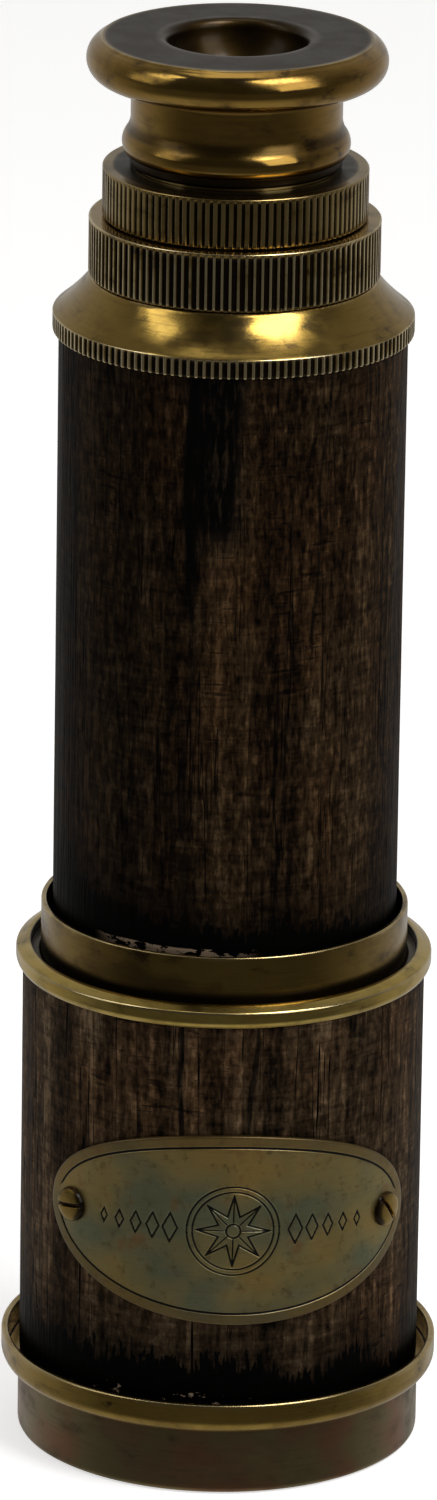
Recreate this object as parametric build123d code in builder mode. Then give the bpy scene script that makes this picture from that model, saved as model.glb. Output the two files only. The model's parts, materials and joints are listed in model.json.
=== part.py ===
from build123d import *
import math
import os

# Kaleidoscope in a telescoping brass and wood body, closed, standing on its end cap.
# Millimetres. Origin at the centre of the cap's underside, +Z along the tube towards the eyepiece,
# -Y towards the oval plate.

os.makedirs("parts", exist_ok=True)

# ---------------------------------------------------------------- driving dimensions

SLIDE_GAP = 0.08        # radial clearance of every sliding or turning fit
GLUE_GAP = 0.03         # radial play of pieces fixed to each other
TRAVEL = 85.0           # how far each draw pulls out
TUBE_WALL = 0.6
EDGE_BREAK = 0.2        # small chamfer on turned edges
CLEAR = 0.02            # keeps touching faces from coinciding
NOTCH_W = 1.1           # spanner notches of the screwed rings
NOTCH_DEPTH = 0.6

# End cap
CAP_R = 21.3
CAP_BORE_R = 20.7
CAP_FLOOR = 1.2
CAP_EDGE = 0.5          # rounding of the cap's lower edge
CAP_H = 7.2
RIM_R = 23.1            # flared ring round the cap's mouth
RIM_FOOT_R = 21.6
RIM_EDGE = 1.5          # rounding of the ring's lower edge
RIM_TOP = 10.6
RIM_WALL = 0.75
RIM_FLOOR = 8.0
RIM_LIP = 0.32
PAD_PLAY = 0.3

# Drum that turns on the barrel and holds the object cell
DRUM_WOOD_R = 21.2
DRUM_WOOD_LOW = 8.3
DRUM_WOOD_TOP = 52.0
DRUM_TUBE_R = 19.3
DRUM_TUBE_BORE_R = 18.7
DRUM_TUBE_TOP = 59.0
FLANGE_R = 21.9
FLANGE_FOOT_R = 21.55
FLANGE_FLARE = 0.5      # height over which the foot widens to the full radius
FLANGE_EDGE = 0.9       # rounding of its top outer edge
FLANGE_TOP = 54.3
FLANGE_GROOVE_R = 20.3
FLANGE_GROOVE_DEPTH = 1.0

# Object cell
CELL_FRONT = 2.4
CELL_OUTER_R = CAP_BORE_R - SLIDE_GAP
CELL_SEAT_R = 17.2
CELL_WINDOW_R = 15.2
CELL_LEDGE = 1.0
CELL_TOP = 13.8
GLASS_R = 17.15
GLASS_THICKNESS = 1.8
CHAMBER_H = 5.4
CELL_RING_H = 1.2

# Oval plate and its screws
PLATE_HALF_ARC = 21.95
PLATE_HALF_HEIGHT = 10.5
PLATE_Z = 29.65
PLATE_TURN = 3.9        # degrees round from the front, towards +X
PLATE_TILT = 1.3        # degrees out of level, its +X end lower
PLATE_INNER_R = DRUM_WOOD_R + GLUE_GAP
PLATE_OUTER_R = 21.75
SCREW_ARC = 18.6        # distance of each screw from the plate's middle, along the curve
SCREW_HEAD_R = 1.9
SCREW_HEAD_H = 0.7
SCREW_SHANK_R = 0.6
SCREW_REACH = 1.6
SCREW_SLOT = 0.4

# Barrel
BARREL_WOOD_R = 18.1
BARREL_WOOD_TOP = 121.2
BARREL_TUBE_R = 15.1
BARREL_BORE_R = 14.4
FOOT_LOW = 14.0
FOOT_TOP = 16.0
FOOT_BOSS_TOP = 17.4
FELT_LOW = 44.0
FELT_TOP = 49.0
STOP_RING_H = 1.5

# Shoulder cap
SHOULDER_R = 18.76
SHOULDER_RIM_TOP = 123.4
SHOULDER_TOP = 127.1
SHOULDER_TOP_R = 15.03
SHOULDER_HOLLOW = 0.3   # depth of the cone's slight hollow
SHOULDER_SKIRT_LOW = 117.2

# Draws, from the outside in
DRAW_NAMES = ["outer", "middle", "inner"]
DRAW_R = [13.5, 12.0, 10.5]
HOST_BORE_R = [BARREL_BORE_R, DRAW_R[0] - TUBE_WALL, DRAW_R[1] - TUBE_WALL]
DRAW_LOW = [18.0, 18.5, 19.0]
DRAW_TOP = [130.5, 136.4, 143.0]
STOP_H = 4.0
STOP_PLAY = 0.1         # left between stop ring and bush at full draw
BUSH_TOP = 117.1
BUSH_NAMES = ["barrel_guide_bush", "outer_draw_bush", "middle_draw_bush"]

# Collars
OUTER_COLLAR_R = 15.13
OUTER_COLLAR_LOW = 127.2
OUTER_COLLAR_TOP = 133.4
MIDDLE_COLLAR_R = 13.76
MIDDLE_COLLAR_LOW = 133.55
MIDDLE_COLLAR_TOP = 138.8

# Knurling: straight round-bottomed flutes
FLUTE_R = 0.24
OUTER_COLLAR_FLUTES = 114
MIDDLE_COLLAR_FLUTES = 105
SHOULDER_FLUTES = 140
COLLAR_LIP = 0.4        # plain edge left above the flutes
COLLAR_CHAMFER = 0.3    # lower edge of both collars

# Eyepiece
EYE_FOOT = 139.2
EYE_TOP = 152.4
EYE_BOSS_R = 10.95
EYE_BULB_R = 11.8
EYE_BULB_EDGE_R = 11.5
EYE_BULB_LOW = 140.3    # the bulb's lower edge, its widest place and its top
EYE_BULB_MIDDLE = 141.3
EYE_BULB_TOP = 142.6
EYE_BULB_TOP_R = 11.35
EYE_NECK_R = 10.92
EYE_NECK_LOW = 144.3
EYE_NECK_FILLET = 1.1
EYE_UNDER = 147.9       # underside of the disc
EYE_UNDER_R = 13.6
EYE_DISC_R = 15.55
EYE_DISC_MIDDLE = 150.05
EYE_FACE_R = 14.2
EYE_FACE_RISE = 0.2     # height of the flat face above the roll
EYE_HOLE_R = 7.18
EYE_LIP = 0.9           # rounding of the hole's edge
EYE_FUNNEL_DEPTH = 4.4
EYE_FUNNEL_R = 5.6
EYE_FUNNEL_MIDDLE = 3.1
EYE_FUNNEL_MIDDLE_R = 6.5
EYE_APERTURE_R = 5.2
LENS_SEAT = 147.2
LENS_R = 8.6
LENS_EDGE = 1.2
LENS_BULGE = 0.8        # rise of each lens face
LENS_RING_H = 1.3
LENS_RING_W = 1.1
LENS_FLAT = 1.2         # flat edge of the lens under the ring

# Mirrors: three strips round an equilateral triangle, each lapping past the next
MIRROR_SIDE = 12.4
MIRROR_LAP = 1.0
MIRROR_THICKNESS = 1.2
MIRROR_LOW = 12.7
MIRROR_TOP = 134.0
MIRROR_TUBE_R = 9.2
MIRROR_TUBE_BORE_R = 8.8
WINDOW_H = 0.8
WINDOW_R = 3.4

# Glass chips
CHIP_COLOURS = ["ruby", "cobalt", "amber", "emerald"]
CHIP_RINGS = [(1, 0.0, 2.0), (5, 5.2, 2.1), (9, 11.2, 2.4)]     # number, ring radius, chip radius
CHIP_THICKNESS = 1.3
CHIP_TURN = 25.0        # degrees of turn for every mm of ring radius


def plane_on_drum(angle, radius, height):
    """A plane that faces out of the drum, at an angle in degrees round from the front."""
    out = Vector(math.sin(math.radians(angle)), -math.cos(math.radians(angle)), 0)
    return Plane(origin=(radius * out.X, radius * out.Y, height), x_dir=(-out.Y, out.X, 0), z_dir=out)


def on_plate(across, up):
    """Turns a place on the flat plate into degrees round from the front and a height."""
    tilt = math.radians(PLATE_TILT)
    arc = across * math.cos(tilt) + up * math.sin(tilt)
    rise = up * math.cos(tilt) - across * math.sin(tilt)
    return PLATE_TURN + math.degrees(arc / PLATE_OUTER_R), PLATE_Z + rise


def half_section(points):
    """The half section of a turned piece: a closed outline of (radius, height) points."""
    with BuildSketch(Plane.XZ) as section:
        with BuildLine():
            Polyline(*points, close=True)
        make_face()
    return section.sketch


def flute_circles(count, radius, low):
    """The round-bottomed flutes of a knurled edge, as circles at one height."""
    with BuildSketch(Plane.XY.offset(low)) as circles:
        with PolarLocations(radius, count):
            Circle(FLUTE_R)
    return circles.sketch


# ---------------------------------------------------------------- end cap

with BuildPart() as cap_cup:
    Cylinder(CAP_R, CAP_H, align=(Align.CENTER, Align.CENTER, Align.MIN))
    fillet(cap_cup.faces().sort_by(Axis.Z)[0].edges(), radius=CAP_EDGE)
    with BuildSketch(Plane.XY.offset(CAP_FLOOR)):
        Circle(CAP_BORE_R)
    extrude(amount=CAP_H, mode=Mode.SUBTRACT)
cap_cup.part.label = "cap_cup"
export_step(cap_cup.part, "parts/cap_cup.step")

# The ring stands out from the cup and leaves a channel round the drum's lower edge.
with BuildPart() as cap_rim_ring:
    with BuildSketch(Plane.XZ):
        with BuildLine():
            rim_foot = (RIM_FOOT_R, CAP_H)
            rim_shoulder = (RIM_R, CAP_H + RIM_EDGE)
            rim_lip = (RIM_R, RIM_TOP)
            RadiusArc(rim_foot, rim_shoulder, -RIM_EDGE)
            Line(rim_shoulder, rim_lip)
            Polyline(
                rim_lip,
                (RIM_R - RIM_WALL, RIM_TOP),
                (RIM_R - RIM_WALL, RIM_FLOOR),
                (CAP_BORE_R, RIM_FLOOR),
                (CAP_BORE_R, CAP_H),
                rim_foot,
            )
        make_face()
    revolve(axis=Axis.Z)
    fillet(cap_rim_ring.faces().sort_by(Axis.Z)[-1].edges(), radius=RIM_LIP)
cap_rim_ring.part.label = "cap_rim_ring"
export_step(cap_rim_ring.part, "parts/cap_rim_ring.step")

with BuildPart() as cap_felt_pad:
    with BuildSketch(Plane.XY.offset(CAP_FLOOR)):
        Circle(CAP_BORE_R - PAD_PLAY)
    extrude(amount=CELL_FRONT - CAP_FLOOR - SLIDE_GAP)
cap_felt_pad.part.label = "cap_felt_pad"
export_step(cap_felt_pad.part, "parts/cap_felt_pad.step")

# ---------------------------------------------------------------- drum

with BuildPart() as drum_tube:
    with BuildSketch(Plane.XY.offset(DRUM_WOOD_LOW)):
        Circle(DRUM_TUBE_R)
        Circle(DRUM_TUBE_BORE_R, mode=Mode.SUBTRACT)
    extrude(amount=DRUM_TUBE_TOP - DRUM_WOOD_LOW)
    fillet(drum_tube.faces().sort_by(Axis.Z)[-1].edges(), radius=EDGE_BREAK)
drum_tube.part.label = "drum_tube"
export_step(drum_tube.part, "parts/drum_tube.step")

with BuildPart() as drum_wood_sleeve:
    with BuildSketch(Plane.XY.offset(DRUM_WOOD_LOW)):
        Circle(DRUM_WOOD_R)
        Circle(DRUM_TUBE_R + GLUE_GAP, mode=Mode.SUBTRACT)
    extrude(amount=DRUM_WOOD_TOP - DRUM_WOOD_LOW)
    for side in (-1, 1):
        screw_angle, screw_z = on_plate(side * SCREW_ARC, 0)
        with BuildSketch(plane_on_drum(screw_angle, PLATE_OUTER_R, screw_z)):
            Circle(SCREW_SHANK_R + GLUE_GAP)
        extrude(amount=-(SCREW_REACH + GLUE_GAP), mode=Mode.SUBTRACT)
drum_wood_sleeve.part.label = "drum_wood_sleeve"
export_step(drum_wood_sleeve.part, "parts/drum_wood_sleeve.step")

drum_flange_ring_section = half_section(
    [
        (DRUM_TUBE_R + GLUE_GAP, DRUM_WOOD_TOP),
        (FLANGE_FOOT_R, DRUM_WOOD_TOP),
        (FLANGE_R, DRUM_WOOD_TOP + FLANGE_FLARE),
        (FLANGE_R, FLANGE_TOP),
        (FLANGE_GROOVE_R, FLANGE_TOP),
        (FLANGE_GROOVE_R, FLANGE_TOP - FLANGE_GROOVE_DEPTH),
        (DRUM_TUBE_R + GLUE_GAP, FLANGE_TOP - FLANGE_GROOVE_DEPTH),
    ]
)
with BuildPart() as drum_flange_ring:
    revolve(drum_flange_ring_section, axis=Axis.Z)
    top_edges = drum_flange_ring.faces().sort_by(Axis.Z)[-1].edges()
    fillet(top_edges.sort_by(SortBy.LENGTH)[-1], radius=FLANGE_EDGE)
drum_flange_ring.part.label = "drum_flange_ring"
export_step(drum_flange_ring.part, "parts/drum_flange_ring.step")

# Runs on top of the barrel's foot plate and keeps the drum from sliding off.
with BuildPart() as drum_stop_ring:
    with BuildSketch(Plane.XY.offset(FOOT_TOP + SLIDE_GAP)):
        Circle(DRUM_TUBE_BORE_R - GLUE_GAP)
        Circle(BARREL_WOOD_R + SLIDE_GAP, mode=Mode.SUBTRACT)
    extrude(amount=STOP_RING_H)
drum_stop_ring.part.label = "drum_stop_ring"
export_step(drum_stop_ring.part, "parts/drum_stop_ring.step")

# ---------------------------------------------------------------- object cell

cell_housing_section = half_section(
    [
        (CELL_WINDOW_R, CELL_FRONT),
        (CELL_OUTER_R - CAP_EDGE, CELL_FRONT),
        (CELL_OUTER_R, CELL_FRONT + CAP_EDGE),
        (CELL_OUTER_R, DRUM_WOOD_LOW),
        (DRUM_TUBE_BORE_R - GLUE_GAP, DRUM_WOOD_LOW),
        (DRUM_TUBE_BORE_R - GLUE_GAP, CELL_TOP),
        (CELL_SEAT_R, CELL_TOP),
        (CELL_SEAT_R, CELL_FRONT + CELL_LEDGE),
        (CELL_WINDOW_R, CELL_FRONT + CELL_LEDGE),
    ]
)
with BuildPart() as cell_housing:
    revolve(cell_housing_section, axis=Axis.Z)
cell_housing.part.label = "cell_housing"
export_step(cell_housing.part, "parts/cell_housing.step")

diffuser_low = CELL_FRONT + CELL_LEDGE
chamber_low = diffuser_low + GLASS_THICKNESS
inner_glass_low = chamber_low + CHAMBER_H
cell_ring_low = inner_glass_low + GLASS_THICKNESS

with BuildPart() as diffuser_glass:
    with BuildSketch(Plane.XY.offset(diffuser_low)):
        Circle(GLASS_R)
    extrude(amount=GLASS_THICKNESS)
diffuser_glass.part.label = "diffuser_glass"
export_step(diffuser_glass.part, "parts/diffuser_glass.step")

with BuildPart() as chamber_spacer_ring:
    with BuildSketch(Plane.XY.offset(chamber_low)):
        Circle(GLASS_R)
        Circle(CELL_WINDOW_R, mode=Mode.SUBTRACT)
    extrude(amount=CHAMBER_H)
chamber_spacer_ring.part.label = "chamber_spacer_ring"
export_step(chamber_spacer_ring.part, "parts/chamber_spacer_ring.step")

with BuildPart() as inner_glass:
    with BuildSketch(Plane.XY.offset(inner_glass_low)):
        Circle(GLASS_R)
    extrude(amount=GLASS_THICKNESS)
inner_glass.part.label = "inner_glass"
export_step(inner_glass.part, "parts/inner_glass.step")

with BuildPart() as cell_retaining_ring:
    with BuildSketch(Plane.XY.offset(cell_ring_low)):
        Circle(GLASS_R)
        Circle(CELL_WINDOW_R, mode=Mode.SUBTRACT)
    extrude(amount=CELL_RING_H)
    # two spanner notches
    with BuildSketch(Plane.XY.offset(cell_ring_low + CELL_RING_H)):
        Rectangle(2 * GLASS_R + 1, NOTCH_W)
    extrude(amount=-NOTCH_DEPTH, mode=Mode.SUBTRACT)
cell_retaining_ring.part.label = "cell_retaining_ring"
export_step(cell_retaining_ring.part, "parts/cell_retaining_ring.step")

# Loose chips lie flat on the diffuser, one colour to a node.
chips = []
for number, ring_radius, chip_radius in CHIP_RINGS:
    for k in range(number):
        turn = 360.0 * k / number + CHIP_TURN * ring_radius
        chips.append((ring_radius, turn, chip_radius, 3 + len(chips) % 4))

for first, colour in enumerate(CHIP_COLOURS):
    with BuildPart() as glass_chips:
        for ring_radius, turn, chip_radius, sides in chips[first::len(CHIP_COLOURS)]:
            with BuildSketch(Plane.XY.offset(chamber_low + CLEAR)):
                with PolarLocations(ring_radius, 1, start_angle=turn):
                    RegularPolygon(chip_radius, sides)
            extrude(amount=CHIP_THICKNESS)
    glass_chips.part.label = f"{colour}_glass_chips"
    export_step(glass_chips.part, f"parts/{colour}_glass_chips.step")

# ---------------------------------------------------------------- oval plate

# A flat oval bent round the drum: its outline seen from the front is an ellipse
# whose width is wrapped onto the cylinder.
plate_front = Plane.XZ.rotated((0, 0, PLATE_TURN))
outline = []
for k in range(24):
    t = 2 * math.pi * k / 24
    angle, height = on_plate(PLATE_HALF_ARC * math.cos(t), PLATE_HALF_HEIGHT * math.sin(t))
    outline.append((PLATE_OUTER_R * math.sin(math.radians(angle - PLATE_TURN)), height))

with BuildPart() as oval_plate:
    with BuildSketch(plate_front):
        with BuildLine():
            Spline(*outline, periodic=True)
        make_face()
    extrude(amount=PLATE_OUTER_R + 1)
    with BuildSketch(Plane.XY.offset(PLATE_Z - PLATE_HALF_HEIGHT - 1)):
        Circle(PLATE_OUTER_R)
        Circle(PLATE_INNER_R, mode=Mode.SUBTRACT)
    extrude(amount=2 * (PLATE_HALF_HEIGHT + 1), mode=Mode.INTERSECT)
    for side in (-1, 1):
        screw_angle, screw_z = on_plate(side * SCREW_ARC, 0)
        with BuildSketch(plane_on_drum(screw_angle, PLATE_OUTER_R + 1, screw_z)):
            Circle(SCREW_SHANK_R + GLUE_GAP)
        extrude(amount=-3, mode=Mode.SUBTRACT)
oval_plate.part.label = "oval_plate"
export_step(oval_plate.part, "parts/oval_plate.step")

with BuildPart() as plate_screws:
    for side in (-1, 1):
        screw_angle, screw_z = on_plate(side * SCREW_ARC, 0)
        seat = plane_on_drum(screw_angle, PLATE_OUTER_R + CLEAR, screw_z)
        with BuildSketch(seat):
            Circle(SCREW_HEAD_R)
        extrude(amount=SCREW_HEAD_H, taper=20)
        with BuildSketch(seat):
            Circle(SCREW_SHANK_R)
        extrude(amount=-SCREW_REACH)
        with BuildSketch(seat.offset(SCREW_HEAD_H)):
            Rectangle(3 * SCREW_HEAD_R, SCREW_SLOT)
        extrude(amount=-SCREW_SLOT, mode=Mode.SUBTRACT)
plate_screws.part.label = "plate_screws"
export_step(plate_screws.part, "parts/plate_screws.step")

# ---------------------------------------------------------------- barrel

with BuildPart() as barrel_tube:
    with BuildSketch(Plane.XY.offset(FOOT_TOP)):
        Circle(BARREL_TUBE_R)
        Circle(BARREL_BORE_R, mode=Mode.SUBTRACT)
    extrude(amount=BARREL_WOOD_TOP - FOOT_TOP)
barrel_tube.part.label = "barrel_tube"
export_step(barrel_tube.part, "parts/barrel_tube.step")

with BuildPart() as barrel_wood_sleeve:
    with BuildSketch(Plane.XY.offset(FOOT_TOP)):
        Circle(BARREL_WOOD_R)
        Circle(BARREL_TUBE_R + GLUE_GAP, mode=Mode.SUBTRACT)
    extrude(amount=BARREL_WOOD_TOP - FOOT_TOP)
barrel_wood_sleeve.part.label = "barrel_wood_sleeve"
export_step(barrel_wood_sleeve.part, "parts/barrel_wood_sleeve.step")

# Closes the barrel, holds the mirror tube and runs between the cell and the drum's stop ring.
barrel_foot_plate_section = half_section(
    [
        (MIRROR_TUBE_R + GLUE_GAP, FOOT_LOW),
        (DRUM_TUBE_BORE_R - SLIDE_GAP, FOOT_LOW),
        (DRUM_TUBE_BORE_R - SLIDE_GAP, FOOT_TOP),
        (BARREL_BORE_R - GLUE_GAP, FOOT_TOP),
        (BARREL_BORE_R - GLUE_GAP, FOOT_BOSS_TOP),
        (MIRROR_TUBE_R + GLUE_GAP, FOOT_BOSS_TOP),
    ]
)
with BuildPart() as barrel_foot_plate:
    revolve(barrel_foot_plate_section, axis=Axis.Z)
barrel_foot_plate.part.label = "barrel_foot_plate"
export_step(barrel_foot_plate.part, "parts/barrel_foot_plate.step")

with BuildPart() as barrel_felt_band:
    with BuildSketch(Plane.XY.offset(FELT_LOW)):
        Circle(DRUM_TUBE_BORE_R - SLIDE_GAP)
        Circle(BARREL_WOOD_R + GLUE_GAP, mode=Mode.SUBTRACT)
    extrude(amount=FELT_TOP - FELT_LOW)
barrel_felt_band.part.label = "barrel_felt_band"
export_step(barrel_felt_band.part, "parts/barrel_felt_band.step")

cone_slope = math.atan2(SHOULDER_TOP - SHOULDER_RIM_TOP, SHOULDER_TOP_R - SHOULDER_R)
cone_middle = (
    (SHOULDER_R + SHOULDER_TOP_R) / 2 - SHOULDER_HOLLOW * math.sin(cone_slope),
    (SHOULDER_RIM_TOP + SHOULDER_TOP) / 2 + SHOULDER_HOLLOW * math.cos(cone_slope),
)
shoulder_cap_section = half_section(
    [
        (DRAW_R[0] + SLIDE_GAP, SHOULDER_SKIRT_LOW),
        (BARREL_BORE_R - GLUE_GAP, SHOULDER_SKIRT_LOW),
        (BARREL_BORE_R - GLUE_GAP, BARREL_WOOD_TOP),
        (SHOULDER_R - EDGE_BREAK, BARREL_WOOD_TOP),
        (SHOULDER_R, BARREL_WOOD_TOP + EDGE_BREAK),
        (SHOULDER_R, SHOULDER_RIM_TOP - EDGE_BREAK),
        (SHOULDER_R - EDGE_BREAK, SHOULDER_RIM_TOP),
        cone_middle,
        (SHOULDER_TOP_R, SHOULDER_TOP - EDGE_BREAK),
        (SHOULDER_TOP_R - EDGE_BREAK, SHOULDER_TOP),
        (DRAW_R[0] + SLIDE_GAP, SHOULDER_TOP),
    ]
)
with BuildPart() as shoulder_cap:
    revolve(shoulder_cap_section, axis=Axis.Z)
    flute_profile = flute_circles(SHOULDER_FLUTES, SHOULDER_R + CLEAR, BARREL_WOOD_TOP)
    extrude(flute_profile, amount=SHOULDER_RIM_TOP - BARREL_WOOD_TOP, mode=Mode.SUBTRACT)
shoulder_cap.part.label = "shoulder_cap"
export_step(shoulder_cap.part, "parts/shoulder_cap.step")

# ---------------------------------------------------------------- mirrors

with BuildPart() as mirror_tube:
    with BuildSketch(Plane.XY.offset(MIRROR_LOW)):
        Circle(MIRROR_TUBE_R)
        Circle(MIRROR_TUBE_BORE_R, mode=Mode.SUBTRACT)
    extrude(amount=MIRROR_TOP - MIRROR_LOW)
mirror_tube.part.label = "mirror_tube"
export_step(mirror_tube.part, "parts/mirror_tube.step")

triangle_inner_r = MIRROR_SIDE / (2 * math.sqrt(3))
mirror_back = triangle_inner_r + MIRROR_THICKNESS
for k in range(3):
    with BuildPart() as mirror_strip:
        with BuildSketch(Plane.XY.offset(MIRROR_LOW).rotated((0, 0, 120 * k))):
            with Locations((MIRROR_LAP / 2, -(triangle_inner_r + MIRROR_THICKNESS / 2))):
                Rectangle(MIRROR_SIDE + MIRROR_LAP - 2 * CLEAR, MIRROR_THICKNESS)
        extrude(amount=MIRROR_TOP - MIRROR_LOW)
    mirror_strip.part.label = f"mirror_strip_{k + 1}"
    export_step(mirror_strip.part, f"parts/mirror_strip_{k + 1}.step")

# Felt fills the three segments between the mirrors' backs and the tube.
packing_r = MIRROR_TUBE_BORE_R - GLUE_GAP
packing_back = mirror_back + GLUE_GAP
with BuildPart() as mirror_packing:
    for k in range(3):
        with BuildSketch(Plane.XY.offset(MIRROR_LOW).rotated((0, 0, 120 * k))):
            Circle(packing_r)
            with Locations((0, packing_r - packing_back)):
                Rectangle(2 * packing_r, 2 * packing_r, mode=Mode.SUBTRACT)
        extrude(amount=MIRROR_TOP - MIRROR_LOW)
mirror_packing.part.label = "mirror_packing"
export_step(mirror_packing.part, "parts/mirror_packing.step")

with BuildPart() as mirror_window:
    with BuildSketch(Plane.XY.offset(MIRROR_TOP)):
        Circle(MIRROR_TUBE_R)
        Circle(WINDOW_R, mode=Mode.SUBTRACT)
    extrude(amount=WINDOW_H)
mirror_window.part.label = "mirror_window"
export_step(mirror_window.part, "parts/mirror_window.step")

# ---------------------------------------------------------------- draws

# Each draw is a thin tube with a stop ring at its foot. The bush that guides it
# stands in the piece around it, and the ring meets it when the draw is fully out.
for draw, tube_r, host_r, low, top, bush in zip(
    DRAW_NAMES, DRAW_R, HOST_BORE_R, DRAW_LOW, DRAW_TOP, BUSH_NAMES
):
    with BuildPart() as draw_tube:
        with BuildSketch(Plane.XY.offset(low)):
            Circle(tube_r)
            Circle(tube_r - TUBE_WALL, mode=Mode.SUBTRACT)
        extrude(amount=top - low)
    draw_tube.part.label = f"{draw}_draw_tube"
    export_step(draw_tube.part, f"parts/{draw}_draw_tube.step")

    with BuildPart() as draw_stop:
        with BuildSketch(Plane.XY.offset(low)):
            Circle(host_r - SLIDE_GAP)
            Circle(tube_r + GLUE_GAP, mode=Mode.SUBTRACT)
        extrude(amount=STOP_H)
    draw_stop.part.label = f"{draw}_draw_stop"
    export_step(draw_stop.part, f"parts/{draw}_draw_stop.step")

    bush_low = low + STOP_H + TRAVEL + STOP_PLAY
    with BuildPart() as guide_bush:
        with BuildSketch(Plane.XY.offset(bush_low)):
            Circle(host_r - GLUE_GAP)
            Circle(tube_r + SLIDE_GAP, mode=Mode.SUBTRACT)
        extrude(amount=BUSH_TOP - bush_low)
    guide_bush.part.label = bush
    export_step(guide_bush.part, f"parts/{bush}.step")

outer_draw_collar_section = half_section(
    [
        (DRAW_R[0] + GLUE_GAP, OUTER_COLLAR_LOW),
        (OUTER_COLLAR_R - COLLAR_CHAMFER, OUTER_COLLAR_LOW),
        (OUTER_COLLAR_R, OUTER_COLLAR_LOW + COLLAR_CHAMFER),
        (OUTER_COLLAR_R, OUTER_COLLAR_TOP - EDGE_BREAK),
        (OUTER_COLLAR_R - EDGE_BREAK, OUTER_COLLAR_TOP),
        (DRAW_R[1] + SLIDE_GAP, OUTER_COLLAR_TOP),
        (DRAW_R[1] + SLIDE_GAP, DRAW_TOP[0]),
        (DRAW_R[0] + GLUE_GAP, DRAW_TOP[0]),
    ]
)
with BuildPart() as outer_draw_collar:
    revolve(outer_draw_collar_section, axis=Axis.Z)
    flute_profile = flute_circles(OUTER_COLLAR_FLUTES, OUTER_COLLAR_R + CLEAR, OUTER_COLLAR_LOW)
    extrude(flute_profile, amount=OUTER_COLLAR_TOP - COLLAR_LIP - OUTER_COLLAR_LOW, mode=Mode.SUBTRACT)
outer_draw_collar.part.label = "outer_draw_collar"
export_step(outer_draw_collar.part, "parts/outer_draw_collar.step")

middle_draw_collar_section = half_section(
    [
        (DRAW_R[1] + GLUE_GAP, MIDDLE_COLLAR_LOW),
        (MIDDLE_COLLAR_R - COLLAR_CHAMFER, MIDDLE_COLLAR_LOW),
        (MIDDLE_COLLAR_R, MIDDLE_COLLAR_LOW + COLLAR_CHAMFER),
        (MIDDLE_COLLAR_R, MIDDLE_COLLAR_TOP - EDGE_BREAK),
        (MIDDLE_COLLAR_R - EDGE_BREAK, MIDDLE_COLLAR_TOP),
        (DRAW_R[2] + SLIDE_GAP, MIDDLE_COLLAR_TOP),
        (DRAW_R[2] + SLIDE_GAP, DRAW_TOP[1]),
        (DRAW_R[1] + GLUE_GAP, DRAW_TOP[1]),
    ]
)
with BuildPart() as middle_draw_collar:
    revolve(middle_draw_collar_section, axis=Axis.Z)
    flute_profile = flute_circles(MIDDLE_COLLAR_FLUTES, MIDDLE_COLLAR_R + CLEAR, MIDDLE_COLLAR_LOW)
    extrude(flute_profile, amount=MIDDLE_COLLAR_TOP - COLLAR_LIP - MIDDLE_COLLAR_LOW, mode=Mode.SUBTRACT)
middle_draw_collar.part.label = "middle_draw_collar"
export_step(middle_draw_collar.part, "parts/middle_draw_collar.step")

# ---------------------------------------------------------------- eyepiece

lens_bore_r = LENS_R + GLUE_GAP + CLEAR
tube_seat_r = DRAW_R[2] + GLUE_GAP
neck_top = EYE_UNDER - EYE_NECK_FILLET
fillet_middle = EYE_NECK_FILLET * (1 - math.sqrt(0.5))
roll_top = EYE_TOP - EYE_FACE_RISE
lip_middle = EYE_LIP * (1 - math.sqrt(0.5))

with BuildPart() as eyepiece_cup:
    with BuildSketch(Plane.XZ):
        with BuildLine():
            # foot and bulb
            Polyline(
                (tube_seat_r, EYE_FOOT),
                (EYE_BOSS_R, EYE_FOOT),
                (EYE_BOSS_R, EYE_BULB_LOW),
                (EYE_BULB_EDGE_R, EYE_BULB_LOW),
            )
            ThreePointArc(
                (EYE_BULB_EDGE_R, EYE_BULB_LOW),
                (EYE_BULB_R, EYE_BULB_MIDDLE),
                (EYE_BULB_TOP_R, EYE_BULB_TOP),
            )
            # neck and the underside of the disc
            Polyline(
                (EYE_BULB_TOP_R, EYE_BULB_TOP),
                (EYE_NECK_R, EYE_NECK_LOW),
                (EYE_NECK_R, neck_top),
            )
            ThreePointArc(
                (EYE_NECK_R, neck_top),
                (EYE_NECK_R + fillet_middle, EYE_UNDER - fillet_middle),
                (EYE_NECK_R + EYE_NECK_FILLET, EYE_UNDER),
            )
            Line((EYE_NECK_R + EYE_NECK_FILLET, EYE_UNDER), (EYE_UNDER_R, EYE_UNDER))
            # rolled edge and flat face
            ThreePointArc(
                (EYE_UNDER_R, EYE_UNDER),
                (EYE_DISC_R, EYE_DISC_MIDDLE),
                (EYE_FACE_R, roll_top),
            )
            Polyline(
                (EYE_FACE_R, roll_top),
                (EYE_FACE_R - EYE_FACE_RISE, EYE_TOP),
                (EYE_HOLE_R + EYE_LIP, EYE_TOP),
            )
            # rounded lip, funnel and aperture
            ThreePointArc(
                (EYE_HOLE_R + EYE_LIP, EYE_TOP),
                (EYE_HOLE_R + lip_middle, EYE_TOP - lip_middle),
                (EYE_HOLE_R, EYE_TOP - EYE_LIP),
            )
            ThreePointArc(
                (EYE_HOLE_R, EYE_TOP - EYE_LIP),
                (EYE_FUNNEL_MIDDLE_R, EYE_TOP - EYE_FUNNEL_MIDDLE),
                (EYE_FUNNEL_R, EYE_TOP - EYE_FUNNEL_DEPTH),
            )
            Polyline(
                (EYE_FUNNEL_R, EYE_TOP - EYE_FUNNEL_DEPTH),
                (EYE_APERTURE_R, EYE_TOP - EYE_FUNNEL_DEPTH - EDGE_BREAK),
                (EYE_APERTURE_R, LENS_SEAT),
                (lens_bore_r, LENS_SEAT),
                (lens_bore_r, DRAW_TOP[2] + EDGE_BREAK),
                (tube_seat_r, DRAW_TOP[2] + EDGE_BREAK),
                (tube_seat_r, EYE_FOOT),
            )
        make_face()
    revolve(axis=Axis.Z)
eyepiece_cup.part.label = "eyepiece_cup"
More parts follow.
